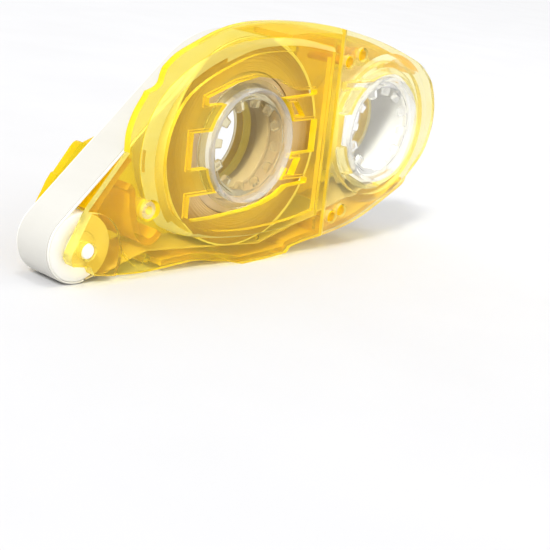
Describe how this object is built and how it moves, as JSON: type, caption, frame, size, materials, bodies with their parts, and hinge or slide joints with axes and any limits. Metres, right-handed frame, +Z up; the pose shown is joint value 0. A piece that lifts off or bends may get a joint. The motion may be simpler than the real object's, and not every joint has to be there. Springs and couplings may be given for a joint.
{
  "type": "correction tape roller",
  "caption": "Translucent correction tape refill cassette: splined supply and take-up reels in a flat case, with the tape wrapped round an applicator roller at its nose.",
  "frame": {"origin": "on the surface that the cassette stands on, under the centre of its bounding box", "axes": "+X along the case from the roller nose to the take-up tail, +Y through the case from the front cover to the rear plate along the reel axes, +Z up"},
  "size_m": [0.0772, 0.011, 0.0356],
  "materials": {
    "case_amber": "transparent amber-yellow moulded plastic, glossy",
    "core_clear": "clear moulded plastic, glossy",
    "clutch_felt": "matt",
    "hub_beige": "satin",
    "tape_roll": "wound tape edge, satin",
    "tape_white": "chalky white coating, matt",
    "roller_ivory": "satin"
  },
  "bodies": {
    "case": {"rear_case": "case_amber", "front_cover": "case_amber", "tail_cover": "case_amber", "cover_pin_upper_inner": "case_amber", "cover_pin_upper_outer": "case_amber", "cover_pin_lower_inner": "case_amber", "cover_pin_lower_outer": "case_amber", "nose_post": "case_amber", "entry_guide": "case_amber", "floor_guide": "case_amber", "feed_tape": "tape_white", "roller_tape": "tape_white", "return_tape": "tape_white"},
    "supply_reel": {"supply_hub": "hub_beige", "supply_tape_roll": "tape_roll", "supply_rear_flange": "core_clear"},
    "supply_drive": {"supply_core": "core_clear", "supply_clutch_ring": "clutch_felt"},
    "take_up_reel": {"take_up_core": "core_clear", "take_up_tape_roll": "tape_white", "take_up_rear_flange": "core_clear"},
    "applicator": {"roller_hub": "roller_ivory", "roller_sleeve": "roller_ivory"}
  },
  "joints": [
    {"name": "supply_spin", "type": "hinge", "parent": "case", "child": "supply_reel", "pos_m": [-0.00546, 0, 0.01786], "axis": [0, 1, 0], "continuous": true},
    {"name": "supply_clutch_slip", "type": "hinge", "parent": "supply_reel", "child": "supply_drive", "pos_m": [-0.00546, 0, 0.01786], "axis": [0, 1, 0], "continuous": true},
    {"name": "take_up_spin", "type": "hinge", "parent": "case", "child": "take_up_reel", "pos_m": [0.02429, 0, 0.01949], "axis": [0, 1, 0], "continuous": true},
    {"name": "roller_spin", "type": "hinge", "parent": "case", "child": "applicator", "pos_m": [-0.0335, 0, 0.00505], "axis": [0, 1, 0], "continuous": true}
  ],
  "couplings": [
    {"joint": "take_up_spin", "follows": "supply_spin", "ratio": 1.6629},
    {"joint": "roller_spin", "follows": "supply_spin", "ratio": 3.3636}
  ]
}
